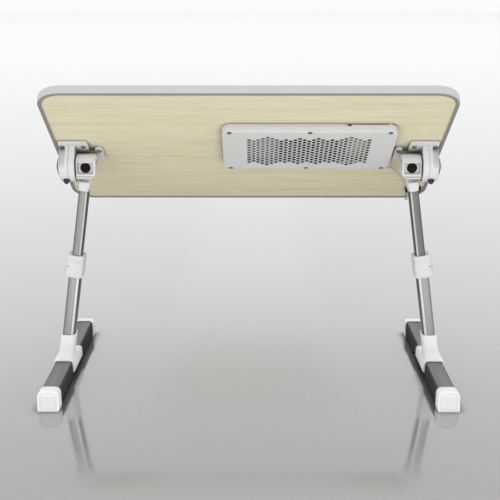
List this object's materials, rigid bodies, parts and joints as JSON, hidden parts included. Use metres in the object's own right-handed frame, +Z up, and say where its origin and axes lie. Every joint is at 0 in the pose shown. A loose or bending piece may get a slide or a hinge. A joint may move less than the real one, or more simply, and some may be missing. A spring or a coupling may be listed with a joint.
{
  "type": "folding laptop cooling table",
  "caption": "Lap and bed table for a notebook computer: tilting wood-grain top with a USB fan under it, on two telescopic fold-in legs with long foot bars.",
  "frame": {"origin": "on the floor at the centre of the rectangle covered by the four foot caps, with the legs fully out", "axes": "+X along the top's width to the right of someone facing its raised back edge's underside, +Y from the raised edge to the lowered edge, +Z up"},
  "size_m": [0.5504, 0.297, 0.4185],
  "materials": {
    "veneer": "pale beech-grain foil, satin",
    "grey_trim": "satin moulded edge band",
    "grey_plastic": "fine-textured ABS",
    "lead_sheath": "satin PVC",
    "white_plastic": "satin moulded ABS",
    "black_plastic": "satin",
    "dark_plastic": "satin",
    "rubber": "matte",
    "aluminium": "satin anodised",
    "dark_anodised": "grey anodised",
    "steel": "zinc plated"
  },
  "bodies": {
    "top": {"tabletop_panel": "veneer", "edge_trim": "grey_trim", "stop_ledge": "grey_plastic", "fan_tray": "grey_plastic", "fan_cover": "grey_plastic", "fan_frame": "black_plastic", "cover_screw_1": "steel", "cover_screw_2": "steel", "cover_screw_3": "steel", "cover_screw_4": "steel", "cover_screw_5": "steel", "cover_screw_6": "steel", "lead_strain_relief": "grey_plastic", "usb_lead": "lead_sheath", "usb_lead_coil": "lead_sheath", "usb_lead_tail": "lead_sheath", "lead_tie": "black_plastic", "usb_plug_grip": "lead_sheath", "usb_plug_shell": "steel", "lead_clip": "black_plastic", "bracket_left": "white_plastic", "bracket_screw_left_1": "steel", "bracket_screw_left_2": "steel", "bracket_screw_left_3": "steel", "tilt_bezel_left": "dark_plastic", "bumper_left": "rubber", "bracket_right": "white_plastic", "bracket_screw_right_1": "steel", "bracket_screw_right_2": "steel", "bracket_screw_right_3": "steel", "tilt_bezel_right": "dark_plastic", "bumper_right": "rubber"},
    "fan_rotor": {"fan_rotor": "black_plastic"},
    "tilt_button_left": {"tilt_button_left": "white_plastic"},
    "knuckle_left": {"knuckle_left": "white_plastic", "fold_pin_left": "steel"},
    "fold_button_left": {"fold_button_left": "black_plastic"},
    "upper_leg_left": {"neck_left": "white_plastic", "upper_tube_left": "aluminium"},
    "lower_leg_left": {"collar_left": "white_plastic", "lower_tube_left": "aluminium", "saddle_left": "white_plastic", "foot_bar_left": "dark_anodised", "front_cap_left": "white_plastic", "rear_cap_left": "white_plastic"},
    "height_button_left": {"height_button_left": "white_plastic"},
    "tilt_button_right": {"tilt_button_right": "white_plastic"},
    "knuckle_right": {"knuckle_right": "white_plastic", "fold_pin_right": "steel"},
    "fold_button_right": {"fold_button_right": "black_plastic"},
    "upper_leg_right": {"neck_right": "white_plastic", "upper_tube_right": "aluminium"},
    "lower_leg_right": {"collar_right": "white_plastic", "lower_tube_right": "aluminium", "saddle_right": "white_plastic", "foot_bar_right": "dark_anodised", "front_cap_right": "white_plastic", "rear_cap_right": "white_plastic"},
    "height_button_right": {"height_button_right": "white_plastic"}
  },
  "joints": [
    {"name": "fan_spin", "type": "hinge", "parent": "top", "child": "fan_rotor", "pos_m": [0.0785, -0.0336, 0.32761], "axis": [0, 0.5976, 0.8018], "continuous": true},
    {"name": "tilt_left", "type": "hinge", "parent": "top", "child": "knuckle_left", "pos_m": [-0.2173, -0.023, 0.301], "axis": [1, 0, 0], "range_deg": [-36.7, 0]},
    {"name": "fold_left", "type": "hinge", "parent": "knuckle_left", "child": "upper_leg_left", "pos_m": [-0.2173, -0.023, 0.301], "axis": [0, 1, 0], "range_deg": [-78, 0]},
    {"name": "height_left", "type": "slide", "parent": "upper_leg_left", "child": "lower_leg_left", "axis": [-0.1487, 0, -0.9889], "range_m": [-0.084, 0]},
    {"name": "tilt_button_left_press", "type": "slide", "parent": "top", "child": "tilt_button_left", "axis": [1, 0, 0], "range_m": [0, 0.002], "stiffness_N_per_m": 300},
    {"name": "fold_button_left_press", "type": "slide", "parent": "knuckle_left", "child": "fold_button_left", "axis": [0, 1, 0], "range_m": [0, 0.0018], "stiffness_N_per_m": 300},
    {"name": "height_button_left_press", "type": "slide", "parent": "lower_leg_left", "child": "height_button_left", "axis": [0.9889, 0, -0.1487], "range_m": [0, 0.0015], "stiffness_N_per_m": 300},
    {"name": "tilt_right", "type": "hinge", "parent": "top", "child": "knuckle_right", "pos_m": [0.2173, -0.023, 0.301], "axis": [1, 0, 0], "range_deg": [-36.7, 0]},
    {"name": "fold_right", "type": "hinge", "parent": "knuckle_right", "child": "upper_leg_right", "pos_m": [0.2173, -0.023, 0.301], "axis": [0, -1, 0], "range_deg": [-78, 0]},
    {"name": "height_right", "type": "slide", "parent": "upper_leg_right", "child": "lower_leg_right", "axis": [0.1487, 0, -0.9889], "range_m": [-0.084, 0]},
    {"name": "tilt_button_right_press", "type": "slide", "parent": "top", "child": "tilt_button_right", "axis": [-1, 0, 0], "range_m": [0, 0.002], "stiffness_N_per_m": 300},
    {"name": "fold_button_right_press", "type": "slide", "parent": "knuckle_right", "child": "fold_button_right", "axis": [0, 1, 0], "range_m": [0, 0.0018], "stiffness_N_per_m": 300},
    {"name": "height_button_right_press", "type": "slide", "parent": "lower_leg_right", "child": "height_button_right", "axis": [-0.9889, 0, -0.1487], "range_m": [0, 0.0015], "stiffness_N_per_m": 300}
  ],
  "couplings": [
    {"joint": "tilt_right", "follows": "tilt_left", "ratio": 1}
  ]
}
